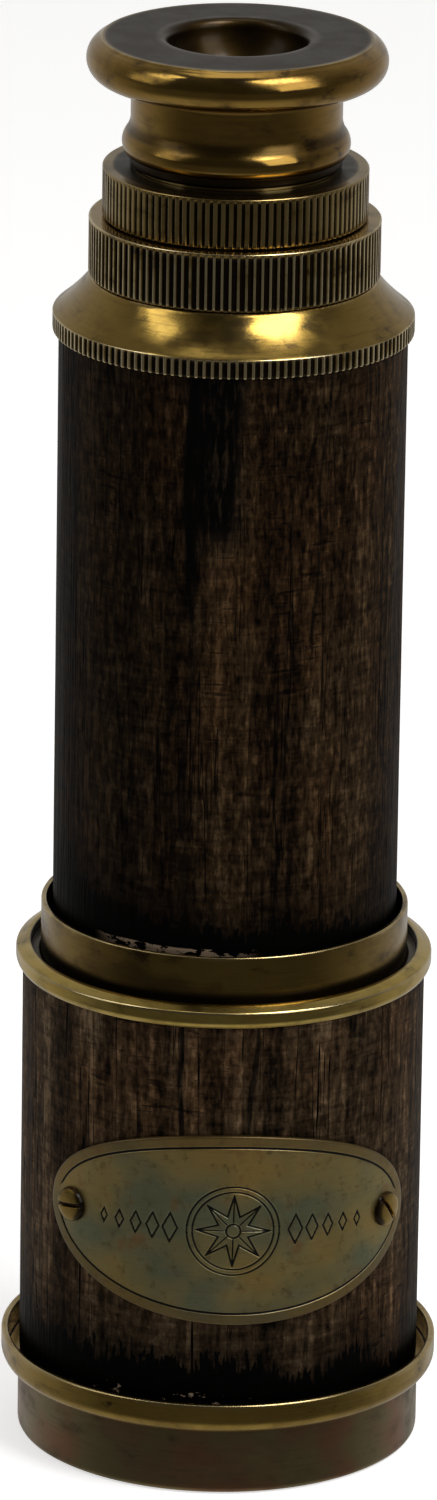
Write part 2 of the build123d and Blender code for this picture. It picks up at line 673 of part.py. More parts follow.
export_step(eyepiece_cup.part, "parts/eyepiece_cup.step")

# Flat above, convex below, with a flat edge for the retaining ring.
lens_low = LENS_SEAT - LENS_EDGE
curve_r = LENS_R - LENS_FLAT
sphere_r = (curve_r**2 + LENS_BULGE**2) / (2 * LENS_BULGE)
halfway_drop = math.sqrt(sphere_r**2 - (curve_r / 2) ** 2) - (sphere_r - LENS_BULGE)
with BuildPart() as eye_lens:
    with BuildSketch(Plane.XZ):
        with BuildLine():
            Polyline(
                (0, lens_low - LENS_BULGE),
                (0, LENS_SEAT),
                (LENS_R, LENS_SEAT),
                (LENS_R, lens_low),
                (curve_r, lens_low),
            )
            ThreePointArc(
                (curve_r, lens_low),
                (curve_r / 2, lens_low - halfway_drop),
                (0, lens_low - LENS_BULGE),
            )
        make_face()
    revolve(axis=Axis.Z)
eye_lens.part.label = "eye_lens"
export_step(eye_lens.part, "parts/eye_lens.step")

with BuildPart() as lens_retaining_ring:
    with BuildSketch(Plane.XY.offset(lens_low)):
        Circle(LENS_R)
        Circle(LENS_R - LENS_RING_W, mode=Mode.SUBTRACT)
    extrude(amount=-LENS_RING_H)
    # two spanner notches
    with BuildSketch(Plane.XY.offset(lens_low - LENS_RING_H)):
        Rectangle(2 * LENS_R + 1, NOTCH_W)
    extrude(amount=NOTCH_DEPTH, mode=Mode.SUBTRACT)
lens_retaining_ring.part.label = "lens_retaining_ring"
export_step(lens_retaining_ring.part, "parts/lens_retaining_ring.step")
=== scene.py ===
import json
import math

import bpy
import numpy as np
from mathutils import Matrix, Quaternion, Vector


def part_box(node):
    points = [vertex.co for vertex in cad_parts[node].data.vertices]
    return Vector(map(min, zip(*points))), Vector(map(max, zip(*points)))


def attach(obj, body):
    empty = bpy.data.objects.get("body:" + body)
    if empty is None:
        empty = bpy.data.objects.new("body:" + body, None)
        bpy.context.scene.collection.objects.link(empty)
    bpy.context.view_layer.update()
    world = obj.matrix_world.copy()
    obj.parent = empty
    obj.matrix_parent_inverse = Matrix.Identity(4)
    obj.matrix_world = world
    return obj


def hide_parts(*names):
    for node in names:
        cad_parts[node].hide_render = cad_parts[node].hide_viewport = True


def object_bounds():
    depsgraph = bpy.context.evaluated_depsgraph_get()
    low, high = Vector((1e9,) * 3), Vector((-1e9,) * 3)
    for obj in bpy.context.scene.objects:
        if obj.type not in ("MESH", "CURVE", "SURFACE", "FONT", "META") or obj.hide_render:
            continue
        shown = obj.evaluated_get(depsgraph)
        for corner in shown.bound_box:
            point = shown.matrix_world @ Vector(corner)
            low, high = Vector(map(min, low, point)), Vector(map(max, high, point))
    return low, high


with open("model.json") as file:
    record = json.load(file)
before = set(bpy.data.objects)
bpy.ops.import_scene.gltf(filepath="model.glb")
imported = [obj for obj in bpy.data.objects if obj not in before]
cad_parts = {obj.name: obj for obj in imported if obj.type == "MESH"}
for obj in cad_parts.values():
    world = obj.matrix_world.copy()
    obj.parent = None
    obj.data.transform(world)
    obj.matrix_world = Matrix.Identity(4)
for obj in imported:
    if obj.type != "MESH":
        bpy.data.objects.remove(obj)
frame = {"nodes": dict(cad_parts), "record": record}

# The looks of a kaleidoscope in a brass and wood spyglass body. Outlines are in millimetres, as
# (radius, height) points turned about the tube's axis; meshes are made in metres.

cad_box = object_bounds()
MM = 0.001
SLIDE = 0.08            # radial play of sliding fits
GLUE = 0.03             # radial play of fixed pieces


# ---------------------------------------------------------------- outlines


def turned_size(node):
    """(outer radius, lowest height, highest height) of a turned CAD node, in millimetres."""
    low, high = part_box(node)
    return max(high.x, -low.x) / MM, low.z / MM, high.z / MM


def arc(first, middle, last, steps=10):
    """Points on the circle through three points, from the first to the last."""
    (ax, ay), (bx, by), (cx, cy) = first, middle, last
    d = 2 * (ax * (by - cy) + bx * (cy - ay) + cx * (ay - by))
    a2, b2, c2 = ax * ax + ay * ay, bx * bx + by * by, cx * cx + cy * cy
    ox = (a2 * (by - cy) + b2 * (cy - ay) + c2 * (ay - by)) / d
    oy = (a2 * (cx - bx) + b2 * (ax - cx) + c2 * (bx - ax)) / d
    radius = math.hypot(ax - ox, ay - oy)
    start = math.atan2(ay - oy, ax - ox)
    via = (math.atan2(by - oy, bx - ox) - start) % math.tau
    sweep = (math.atan2(cy - oy, cx - ox) - start) % math.tau
    if via > sweep:
        sweep -= math.tau
    turns = [start + sweep * k / steps for k in range(steps + 1)]
    return [(ox + radius * math.cos(t), oy + radius * math.sin(t)) for t in turns]


def rounded(corners, steps=4):
    """A closed outline whose (radius, height, rounding) corners are eased by their rounding."""
    points = []
    for k, (r, z, ease) in enumerate(corners):
        corner = np.array((r, z))
        before = np.array(corners[k - 1][:2]) - corner
        after = np.array(corners[(k + 1) % len(corners)][:2]) - corner
        if ease == 0:
            points.append((r, z))
            continue
        start = corner + before * min(0.45, ease / np.linalg.norm(before))
        end = corner + after * min(0.45, ease / np.linalg.norm(after))
        for j in range(steps + 1):
            t = j / steps
            points.append(tuple((1 - t) ** 2 * start + 2 * t * (1 - t) * corner + t * t * end))
    return points


def plain(points):
    """Points of an arc as corners that need no rounding."""
    return [(r, z, 0) for r, z in points]


def divided(points, step):
    """The outline with its long stretches divided, so that relief can bend them."""
    result = []
    for k, (r, z) in enumerate(points):
        next_r, next_z = points[(k + 1) % len(points)]
        pieces = max(1, round(math.hypot(next_r - r, next_z - z) / step))
        for j in range(pieces):
            result.append((r + (next_r - r) * j / pieces, z + (next_z - z) * j / pieces))
    return result


# ---------------------------------------------------------------- meshes


def finished_mesh(name, points, faces, values=None):
    """A smooth object from points in millimetres. Its normals lean towards its larger faces."""
    mesh = bpy.data.meshes.new(name)
    mesh.from_pydata((np.asarray(points) * MM).tolist(), [], faces)
    mesh.validate()
    for label, numbers in (values or {}).items():
        layer = mesh.attributes.new(label, "FLOAT", "POINT")
        layer.data.foreach_set("value", np.asarray(numbers, np.float32).ravel())
    count = len(mesh.polygons)
    normal = np.zeros(count * 3)
    area = np.zeros(count)
    corners = np.zeros(count, int)
    corner_point = np.zeros(len(mesh.loops), int)
    mesh.polygons.foreach_get("normal", normal)
    mesh.polygons.foreach_get("area", area)
    mesh.polygons.foreach_get("loop_total", corners)
    mesh.loops.foreach_get("vertex_index", corner_point)
    weighted = np.repeat(normal.reshape(-1, 3) * area[:, None], corners, axis=0)
    total = np.zeros((len(mesh.vertices), 3))
    np.add.at(total, corner_point, weighted)
    total /= np.maximum(np.linalg.norm(total, axis=1, keepdims=True), 1e-20)
    mesh.polygons.foreach_set("use_smooth", np.ones(count, bool))
    mesh.normals_split_custom_set_from_vertices(total.tolist())
    piece = bpy.data.objects.new(name, mesh)
    bpy.context.scene.collection.objects.link(piece)
    return piece


def turned_piece(name, outline, sides, relief=None, marks=None):
    """Turns a closed outline about Z. relief(angle, r, z) gives the change of radius and the wear,
    and marks are further values of (angle, r, z) for the material."""
    outline = np.array(outline)
    angle = (np.arange(sides) * math.tau / sides)[:, None]
    r = np.broadcast_to(outline[:, 0], (sides, len(outline))).copy()
    z = np.broadcast_to(outline[:, 1], (sides, len(outline))).copy()
    wear = edge_wear(outline)[None, :] + np.zeros_like(r)
    if relief:
        change, extra = relief(angle, r, z)
        r = r + change
        wear = np.clip(wear + extra, 0, 1)
    values = {"wear": wear}
    for label, mark in (marks or {}).items():
        values[label] = mark(angle + 0 * r, r, z)
    points = np.stack((r * np.sin(angle), -r * np.cos(angle), z), axis=-1).reshape(-1, 3)
    rows = len(outline)
    i = np.arange(sides)[:, None]
    j = np.arange(rows)[None, :]
    here, up = i * rows + j, i * rows + (j + 1) % rows
    beside, beside_up = (i + 1) % sides * rows + j, (i + 1) % sides * rows + (j + 1) % rows
    faces = np.stack((here + 0 * up, beside + 0 * up, beside_up, up), axis=-1).reshape(-1, 4)
    return finished_mesh(name, points, faces.tolist(), values)


def edge_wear(outline):
    """0.5 on plain stretches, up to 1 on tight outward bends and down to 0 in inward corners."""
    before = outline - np.roll(outline, 1, axis=0)
    after = np.roll(outline, -1, axis=0) - outline
    reach = np.linalg.norm(before, axis=1), np.linalg.norm(after, axis=1)
    turn = before[:, 0] * after[:, 1] - before[:, 1] * after[:, 0]
    turn = np.arcsin(np.clip(turn / np.maximum(reach[0] * reach[1], 1e-9), -1, 1))
    bend = turn / np.maximum((reach[0] + reach[1]) / 2, 0.05)
    wear = 0.5 + np.clip(bend * 0.14, -0.5, 0.5)
    for _ in range(2):
        wear = (np.roll(wear, 1) + 2 * wear + np.roll(wear, -1)) / 4
    return wear


def step_up(value, low, high):
    """0 below low, 1 above high, smooth between."""
    t = np.clip((value - low) / (high - low), 0, 1)
    return t * t * (3 - 2 * t)


def ribs(count, depth, low, high, fade, outer, groove_start, groove_end, seed):
    """Straight knurling between two heights: relief, and a mark for turned_piece of painted shade with some
    grime in the grooves. The groove opens between the two levels of a wave that is 1 in its middle and 0 on
    a rib."""
    uneven = np.random.default_rng(seed).uniform(0, 0.16, count)

    def groove(angle):
        return step_up(0.5 + 0.5 * np.cos(angle * count), groove_start, groove_end)

    def band(r, z):
        on_rim = step_up(r, outer - 1.2, outer - 0.5)
        return step_up(z, low - fade, low) * (1 - step_up(z, high, high + fade)) * on_rim

    def relief(angle, r, z):
        rib = (angle * count / math.tau).astype(int) % count
        cut = np.maximum(groove(angle), uneven[rib]) * band(r, z)
        return -depth * cut, (0.52 - 1.02 * groove(angle) - 1.5 * uneven[rib]) * band(r, z)

    # Painted shade, with some grime, down the knurl grooves.
    def shade_and_grime(angle, r, z):
        return groove(angle) * band(r, z)

    return relief, shade_and_grime


# ---------------------------------------------------------------- procedural materials


class Paint:
    """One procedural material, built node by node in object space."""

    def __init__(self, name):
        self.material = bpy.data.materials.new(name)
        self.material.use_nodes = True
        self.tree = self.material.node_tree
        self.tree.nodes.clear()
        output = self.tree.nodes.new("ShaderNodeOutputMaterial")
        self.shader = self.tree.nodes.new("ShaderNodeBsdfPrincipled")
        self.tree.links.new(self.shader.outputs["BSDF"], output.inputs["Surface"])
        self.place = self.node("ShaderNodeTexCoord", {}).outputs["Object"]

    def node(self, kind, inputs, **settings):
        node = self.tree.nodes.new(kind)
        for key, value in settings.items():
            setattr(node, key, value)
        for key, value in inputs.items():
            self.feed(node.inputs[key], value)
        return node

    def feed(self, socket, value):
        if isinstance(value, bpy.types.NodeSocket):
            self.tree.links.new(value, socket)
        elif socket.type == "RGBA" and len(value) == 3:
            socket.default_value = (*value, 1)
        else:
            socket.default_value = value

    def set(self, **sockets):
        for key, value in sockets.items():
            self.feed(self.shader.inputs[key.replace("_", " ")], value)

    def stretched(self, x, y, z, shift=(0, 0, 0)):
        inputs = {"Vector": self.place, "Scale": (x, y, z), "Location": shift}
        return self.node("ShaderNodeMapping", inputs).outputs["Vector"]

    def noise(self, size, vector=None, detail=3, roughness=0.5, distortion=0.0):
        """Noise whose lumps are about size millimetres across."""
        inputs = {
            "Vector": vector or self.place,
            "Scale": 1 / (size * MM),
            "Detail": detail,
            "Roughness": roughness,
            "Distortion": distortion,
        }
        return self.node("ShaderNodeTexNoise", inputs).outputs["Fac"]

    def ramp(self, value, stops):
        node = self.node("ShaderNodeValToRGB", {"Fac": value})
        elements = node.color_ramp.elements
        while len(elements) < len(stops):
            elements.new(0.5)
        for element, (position, colour) in zip(elements, stops):
            element.position = position
            element.color = (*colour, 1)
        return node.outputs["Color"]

    def level(self, value, low, high, to_low=0.0, to_high=1.0):
        """Maps low..high smoothly to to_low..to_high."""
        inputs = {"Value": value, "From Min": low, "From Max": high, "To Min": to_low, "To Max": to_high}
        return self.node("ShaderNodeMapRange", inputs, interpolation_type="SMOOTHSTEP").outputs["Result"]

    def math(self, operation, first, second=0.0):
        node = self.node("ShaderNodeMath", {}, operation=operation)
        self.feed(node.inputs[0], first)
        self.feed(node.inputs[1], second)
        return node.outputs["Value"]

    def mix(self, amount, first, second, blend="MIX"):
        node = self.node("ShaderNodeMix", {"Factor": amount}, data_type="RGBA", blend_type=blend)
        colours = [socket for socket in node.inputs if socket.type == "RGBA"]
        self.feed(colours[0], first)
        self.feed(colours[1], second)
        return [socket for socket in node.outputs if socket.type == "RGBA"][0]

    def bump(self, height, depth, normal=None):
        """Bump as deep as depth millimetres."""
        inputs = {"Height": height, "Distance": depth * MM, "Strength": 1.0}
        if normal:
            inputs["Normal"] = normal
        return self.node("ShaderNodeBump", inputs).outputs["Normal"]

    def attribute(self, name):
        return self.node("ShaderNodeAttribute", {}, attribute_name=name).outputs["Fac"]

    def angle_and_height(self):
        """Angle round from the front, in radians, and height in metres."""
        parts = self.node("ShaderNodeSeparateXYZ", {"Vector": self.place})
        front = self.math("MULTIPLY", parts.outputs["Y"], -1.0)
        return self.math("ARCTAN2", parts.outputs["X"], front), parts.outputs["Z"]


def brass(name, body, warm, grime, bright, rough=0.3, worn=True, coat=0.3, seed=0.0, face_patina_and_reflection=None):
    """Aged brass: blotched, finely turned, dark in its corners and rubbed bright on its edges."""
    paint = Paint(name)
    spot = paint.stretched(1, 1, 1, (seed, seed, seed))
    blotch = paint.noise(8, spot, detail=3, roughness=0.55)
    cloud = paint.noise(2.4, paint.stretched(0.5, 0.5, 1, (seed, 0, seed)), detail=5, roughness=0.62)
    speck = paint.noise(0.3, spot, detail=2)
    lines = paint.noise(0.22, paint.stretched(0.03, 0.03, 1), detail=3, roughness=0.7)
    tarnish = tuple(0.5 * c for c in body)
    colour = paint.mix(paint.level(blotch, 0.36, 0.66), body, warm)
    colour = paint.mix(paint.level(cloud, 0.45, 0.68, 0, 0.6), colour, tarnish)
    colour = paint.mix(paint.level(cloud, 0.60, 0.72, 0, 0.85), colour, grime)
    colour = paint.mix(paint.level(lines, 0.5, 0.72, 0, 0.3), colour, grime)
    roughness = paint.level(cloud, 0.35, 0.7, rough - 0.05, rough + 0.12)
    if worn:
        wear = paint.math("ADD", paint.attribute("wear"), paint.level(cloud, 0.3, 0.7, 0.1, -0.14))
        colour = paint.mix(paint.level(wear, 0.62, 0.95), colour, bright)
        colour = paint.mix(paint.level(wear, 0.36, 0.05), colour, grime)
        roughness = paint.math("ADD", roughness, paint.level(wear, 0.3, 0.0, 0.0, 0.25))
    if face_patina_and_reflection:
        # The flat face's grey-brown tone: patina, and a painted reflection of the grey space above.
        face = paint.math("MULTIPLY", paint.attribute("face_patina_and_reflection"), paint.level(cloud, 0.3, 0.75, 1.0, 0.75))
        colour = paint.mix(face, colour, face_patina_and_reflection)
        roughness = paint.math("ADD", roughness, paint.math("MULTIPLY", face, 0.18))
    if worn:
        # Painted shade: this mark darkens knurl grooves, recesses, gaps and undersides where shade falls,
        # together with some real grime and tarnish.
        shade_and_grime = paint.attribute("shade_and_grime")
        colour = paint.mix(paint.level(shade_and_grime, 0.0, 1.0, 0.0, 0.93), colour, tuple(0.3 * c for c in grime))
        roughness = paint.math("ADD", roughness, paint.math("MULTIPLY", shade_and_grime, 0.25))
    relief = paint.bump(lines, 0.004)
    relief = paint.bump(speck, 0.003, relief)
    relief = paint.bump(blotch, 0.012, relief)
    paint.set(Base_Color=colour, Metallic=1.0, Roughness=roughness, Normal=relief)
    paint.set(Coat_Weight=coat, Coat_Roughness=0.22)
    return paint.material


def glass(name, colour, rough=0.02, frosted=False):
    paint = Paint(name)
    cloud = paint.noise(4, detail=3)
    tint = paint.mix(paint.level(cloud, 0.3, 0.7), colour, tuple(0.8 * c for c in colour))
    grit = paint.noise(0.3, detail=2)
    relief = paint.bump(grit, 0.03 if frosted else 0.001)
    roughness = paint.level(cloud, 0.3, 0.7, rough, rough + 0.06)
    paint.set(Base_Color=tint, Roughness=roughness, Normal=relief, Transmission_Weight=1.0, IOR=1.5)
    return paint.material


def felt(name, colour):
    paint = Paint(name)
    fibre = paint.noise(0.35, detail=5, roughness=0.8, distortion=1.5)
    patch = paint.noise(5, detail=2)
    shade = paint.mix(paint.level(fibre, 0.3, 0.75), tuple(0.5 * c for c in colour), colour)
    shade = paint.mix(paint.level(patch, 0.4, 0.7, 0, 0.4), shade, tuple(0.7 * c for c in colour))
    paint.set(Base_Color=shade, Roughness=0.95, Normal=paint.bump(fibre, 0.15), Sheen_Weight=0.3)
    return paint.material


def silvered(name):
    paint = Paint(name)
    haze = paint.noise(3, detail=4)
    colour = paint.mix(paint.level(haze, 0.5, 0.75, 0, 0.3), (0.9, 0.91, 0.92), (0.75, 0.77, 0.78))
    paint.set(Base_Color=colour, Metallic=1.0, Roughness=paint.level(haze, 0.4, 0.8, 0.02, 0.12))
    return paint.material


def groove_line(paint, angle, height, wander, start, end, half_width, fade=6):
    """A dark line down the wood from start to end, each (angle in degrees, height in mm)."""
    (start_angle, start_height), (end_angle, end_height) = start, end
    centre = paint.node(
        "ShaderNodeMapRange",
        {
            "Value": height,
            "From Min": end_height * MM,
            "From Max": start_height * MM,
            "To Min": math.radians(end_angle),
            "To Max": math.radians(start_angle),
        },
    ).outputs["Result"]
    off = paint.math("SUBTRACT", angle, centre)
    off = paint.math("ABSOLUTE", paint.math("ADD", off, paint.level(wander, 0.3, 0.7, -0.035, 0.035)))
    line = paint.level(off, math.radians(half_width * 1.4), math.radians(half_width * 0.5))
    line = paint.math("MULTIPLY", line, paint.level(height, (end_height - fade) * MM, end_height * MM))
    top = paint.level(height, (start_height + fade) * MM, start_height * MM)
    return paint.math("MULTIPLY", line, top)


def wood(name, shades, lacquer, chips, chipped, lines, streaks, gaps, darkening, seed, gloss):
    """Stained straight-grained wood. shades run from dark to pale, lacquer is the (lowest, highest,
    extra towards the left) of the black that fills the lower edge up to a ragged line. chips is the
    height of its chipped edge and chipped how much of the edge is gone. darkening is painted shade on the
    left side."""
    paint = Paint(name)
    angle, height = paint.angle_and_height()
    shift = (seed * MM, 0, 2 * seed * MM)
    wander = paint.noise(9, paint.stretched(1, 1, 0.3, shift), detail=3)
    board = paint.noise(6, paint.stretched(1, 1, 0.03, shift), detail=2)
    streak = paint.noise(1.9, paint.stretched(1, 1, 0.045, shift), detail=4, roughness=0.6, distortion=0.3)
    grain = paint.noise(0.55, paint.stretched(1, 1, 0.19, shift), detail=4, roughness=0.65, distortion=0.5)
    cross = paint.noise(0.7, paint.stretched(0.16, 0.16, 1, shift), detail=3, roughness=0.6, distortion=0.6)
    mottle = paint.noise(0.75, paint.stretched(1, 1, 0.6, shift), detail=4, roughness=0.7)
    patch = paint.noise(11, paint.stretched(1, 1, 0.5, shift), detail=2)
    parts = [(board, 0.20), (streak, streaks), (grain, 0.44 - streaks), (mottle, 0.22), (cross, 0.14)]
    tone = 0.0
    for part, share in parts:
        tone = paint.math("ADD", paint.math("MULTIPLY", part, share), tone)
    colour = paint.ramp(tone, list(zip((0.41, 0.465, 0.525, 0.585), shades)))
    redder = paint.mix(1.0, colour, (1.08, 0.92, 0.78), "MULTIPLY")
    colour = paint.mix(paint.level(patch, 0.42, 0.62, 0, 0.8), colour, redder)
    gap = paint.noise(2.3, paint.stretched(1, 1, 0.028, (0, seed * MM, 0)), detail=3, roughness=0.7)
    gap_line = paint.level(paint.math("ABSOLUTE", paint.math("SUBTRACT", gap, 0.5)), 0.014, 0.004, 0, gaps)
    gap_line = paint.math("MULTIPLY", gap_line, paint.level(streak, 0.42, 0.56))
    black = tuple(0.2 * c for c in shades[0])
    colour = paint.mix(gap_line, colour, black)
    # Painted shade: the left side is made darker.
    left_side_shade = paint.level(paint.math("SINE", angle), 0.25, -0.75, 0, darkening)
    colour = paint.mix(left_side_shade, colour, black)
    crease = paint.math("MULTIPLY", paint.level(cross, 0.57, 0.66), paint.level(patch, 0.42, 0.6, 0, 0.8))
    colour = paint.mix(crease, colour, black)
    for start, end, half_width, strength in lines:
        line = groove_line(paint, angle, height, wander, start, end, half_width)
        line = paint.math("MULTIPLY", line, paint.level(grain, 0.72, 0.45, strength * 0.75, strength))
        colour = paint.mix(line, colour, (0.0012, 0.001, 0.0009))
    low, high, left = lacquer
    ragged = paint.math("MULTIPLY", paint.level(grain, 0.3, 0.68), (high - low) * MM)
    ragged = paint.math("ADD", ragged, paint.level(wander, 0.3, 0.7, 0, (high - low) * 0.8 * MM))
    tilt = paint.math("MULTIPLY", paint.math("SINE", angle), -left * MM)
    edge = paint.math("ADD", paint.math("ADD", ragged, tilt), low * MM)
    under = paint.math("SUBTRACT", edge, height)
    # The wood turns darker for 6 mm above the ragged black edge.
    shade_and_grime = paint.level(under, -0.006, 0.0, 0, 0.55)
    coated = paint.level(under, -0.0002, 0.0005)
    colour = paint.mix(shade_and_grime, colour, black)
    colour = paint.mix(coated, colour, (0.0010, 0.0009, 0.0008))
    chip_top = paint.level(wander, 0.3, 0.7, (chips - 0.1) * MM, (chips + 0.12) * MM)
    chip_zone = paint.level(paint.math("SUBTRACT", chip_top, height), -0.00005, 0.0001)
    flake = paint.noise(1.0, paint.stretched(0.45, 0.45, 1, shift), detail=4, roughness=0.65)
    gone = 0.62 - 0.14 * chipped
    chip = paint.math("MULTIPLY", chip_zone, paint.level(flake, gone, 0.65 - 0.14 * chipped))
    side = paint.math("SINE", paint.math("ADD", angle, math.radians(108)))
    chip = paint.math("MULTIPLY", chip, paint.level(side, 0.86, 0.96))
    colour = paint.mix(chip, colour, (0.26, 0.19, 0.13))
    roughness = paint.level(streak, 0.3, 0.7, gloss, gloss + 0.12)
    relief = paint.bump(grain, 0.05)
    relief = paint.bump(cross, 0.03, relief)
    relief = paint.bump(gap_line, -0.05, relief)
    paint.set(Base_Color=colour, Roughness=roughness, Normal=relief, Specular_IOR_Level=0.03)
    return paint.material


collar_brass = brass(
    "collar_brass",
    body=(0.33, 0.205, 0.038),
    warm=(0.38, 0.245, 0.05),
    grime=(0.028, 0.014, 0.003),
    bright=(0.74, 0.60, 0.34),
    rough=0.17,
)
upper_collar_brass = brass(
    "upper_collar_brass",
    body=(0.24, 0.15, 0.032),
    warm=(0.27, 0.175, 0.04),
    grime=(0.028, 0.014, 0.003),
    bright=(0.40, 0.29, 0.11),
    rough=0.2,
    seed=0.007,
)
eyepiece_brass = brass(
    "eyepiece_brass",
    body=(0.31, 0.175, 0.030),
    warm=(0.37, 0.225, 0.042),
    grime=(0.035, 0.016, 0.003),
    bright=(0.52, 0.39, 0.17),
    rough=0.14,
    seed=0.011,
    face_patina_and_reflection=(0.25, 0.205, 0.135),
)
drum_brass = brass(
    "drum_brass",
    body=(0.37, 0.235, 0.045),
    warm=(0.43, 0.285, 0.06),
    grime=(0.05, 0.025, 0.006),
    bright=(0.58, 0.44, 0.2),
    rough=0.24,
    seed=0.023,
)
sleeve_brass = brass(
    "sleeve_brass",
    body=(0.24, 0.15, 0.03),
    warm=(0.29, 0.185, 0.04),
    grime=(0.03, 0.015, 0.004),
    bright=(0.58, 0.44, 0.2),
    rough=0.22,
    seed=0.019,
)
# A brighter copy of the brass: its paler colour paints in the highlight of the flange's rounded top.
flange_brass_painted_bright = brass(
    "flange_brass_painted_bright",
    body=(0.56, 0.39, 0.085),
    warm=(0.60, 0.43, 0.11),
    grime=(0.06, 0.032, 0.008),
    bright=(0.66, 0.52, 0.26),
    rough=0.17,
    seed=0.029,
)
cap_brass = brass(
    "cap_brass",
    body=(0.23, 0.185, 0.085),
    warm=(0.27, 0.135, 0.07),
    grime=(0.10, 0.06, 0.035),
    bright=(0.3, 0.22, 0.1),
    rough=0.38,
    coat=0.2,
    seed=0.037,
)
tube_brass = brass(
    "tube_brass",
    body=(0.62, 0.45, 0.17),
    warm=(0.68, 0.50, 0.20),
    grime=(0.36, 0.24, 0.08),
    bright=(0.7, 0.55, 0.3),
    rough=0.14,
    worn=False,
    coat=0.1,
)
plate_brass = brass(
    "plate_brass",
    body=(0.34, 0.25, 0.085),
    warm=(0.26, 0.24, 0.12),
    grime=(0.12, 0.075, 0.02),
    bright=(0.42, 0.33, 0.16),
    rough=0.36,
    worn=False,
)
barrel_wood_paint = wood(
    "barrel_wood",
    shades=[
        (0.0018, 0.0010, 0.0005),
        (0.0085, 0.0043, 0.0016),
        (0.0260, 0.0145, 0.0058),
        (0.068, 0.041, 0.019),
    ],
    lacquer=(59.8, 62.2, 1.8),
    chips=59.5,
    chipped=1.0,
    lines=[
        ((-3.0, 126), (-5.0, 106), 8.0, 1.0),
        ((-10.5, 125), (-13.0, 100), 2.0, 1.0),
        ((-13.0, 99), (-14.5, 60), 1.3, 0.55),
        ((35.0, 122), (27.0, 93), 0.55, 0.75),
        ((17.6, 92), (17.0, 60), 0.4, 0.5),
        ((152.0, 122), (160.0, 84), 1.6, 0.8),
        ((-96.0, 110), (-92.0, 64), 0.7, 0.6),
    ],
    streaks=0.14,
    gaps=0.8,
    darkening=0.6,
    seed=3,
    gloss=0.40,
)
drum_wood_paint = wood(
    "drum_wood",
    shades=[
        (0.0025, 0.0015, 0.0008),
        (0.0165, 0.0094, 0.0041),
        (0.0470, 0.0285, 0.0138),
        (0.125, 0.083, 0.046),
    ],
    lacquer=(11.0, 14.2, 1.2),
    chips=11.2,
    chipped=0.1,
    lines=[
        ((-12.0, 56), (-12.5, 38), 0.9, 0.9),
        ((9.0, 56), (9.5, 41), 0.7, 0.8),
        ((-160.0, 56), (-158.0, 30), 0.9, 0.8),
    ],
    streaks=0.24,
    gaps=1.0,
    darkening=0.1,
    seed=17,
    gloss=0.42,
)
inner_brass = brass(
    "inner_brass",
    body=(0.36, 0.235, 0.06),
    warm=(0.42, 0.28, 0.075),
    grime=(0.12, 0.07, 0.02),
    bright=(0.5, 0.38, 0.18),
    rough=0.26,
    worn=False,
    seed=0.041,
)
paints = {
    "aged_brass": inner_brass,
    "plate_brass": plate_brass,
    "cap_brass": cap_brass,
    "bright_brass": tube_brass,
    "dark_wood": barrel_wood_paint,
    "brown_wood": drum_wood_paint,
    "felt": felt("felt", (0.06, 0.05, 0.045)),
    "clear_glass": glass("clear_glass", (0.93, 0.96, 0.95)),
    "frosted_glass": glass("frosted_glass", (0.9, 0.92, 0.9), rough=0.45, frosted=True),
    "mirror": silvered("mirror"),
    "ruby_glass": glass("ruby_glass", (0.75, 0.03, 0.05)),
    "cobalt_glass": glass("cobalt_glass", (0.03, 0.08, 0.7)),
    "amber_glass": glass("amber_glass", (0.9, 0.42, 0.04)),
    "emerald_glass": glass("emerald_glass", (0.03, 0.5, 0.14)),
}
for part in frame["record"]["subparts"]:
    node = frame["nodes"][part["node"]]
    node.data.materials.clear()
    node.data.materials.append(paints[part["material_slot"]])


def dress(piece, body, slot, paint, *nodes):
    """Gives a piece its material and its body, and hides the CAD nodes that it stands for. The slot is not
    used.
    """
    piece.data.materials.append(paint)
    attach(piece, body)
    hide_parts(*nodes)


# ---------------------------------------------------------------- wood sleeves


def grain_relief(seed, count_low, count_high, depth, radius):
    """Shallow grooves that run along the tube and waver a little: relief for turned_piece."""
    rng = np.random.default_rng(seed)
    waves = 26
    counts = rng.integers(count_low, count_high, waves)
    phases = rng.uniform(0, math.tau, waves)
    sways = rng.uniform(0.3, 1.6, waves)
    lengths = rng.uniform(18, 60, waves)

    def relief(angle, r, z):
        height = np.zeros_like(r)
        for count, phase, sway, length in zip(counts, phases, sways, lengths):
            height += np.cos(count * angle + phase + sway * np.sin(z / length * math.tau + phase * 3))
        height /= math.sqrt(waves)
        outside = step_up(r, radius - 1.2, radius - 0.6)
        return depth * (height - 2.2) * 0.3 * outside, np.zeros_like(r)

    return relief


def wood_sleeve(name, node, bore, edge, seed):
    outer, low, high = turned_size(node)
    outline = rounded([(bore, low, 0), (outer, low, edge), (outer, high, edge), (bore, high, 0)])
    return turned_piece(name, divided(outline, 0.9), 720, grain_relief(seed, 60, 300, 0.05, outer))


barrel_tube_r = turned_size("barrel_tube")[0]
drum_tube_r = turned_size("drum_tube")[0]
barrel_wood = wood_sleeve("barrel_wood", "barrel_wood_sleeve", barrel_tube_r + GLUE, 0.3, 11)
dress(barrel_wood, "barrel", "dark_wood", barrel_wood_paint, "barrel_wood_sleeve")
drum_wood = wood_sleeve("drum_wood", "drum_wood_sleeve", drum_tube_r + GLUE, 0.3, 23)
dress(drum_wood, "drum", "brown_wood", drum_wood_paint, "drum_wood_sleeve")

# ---------------------------------------------------------------- turned brass

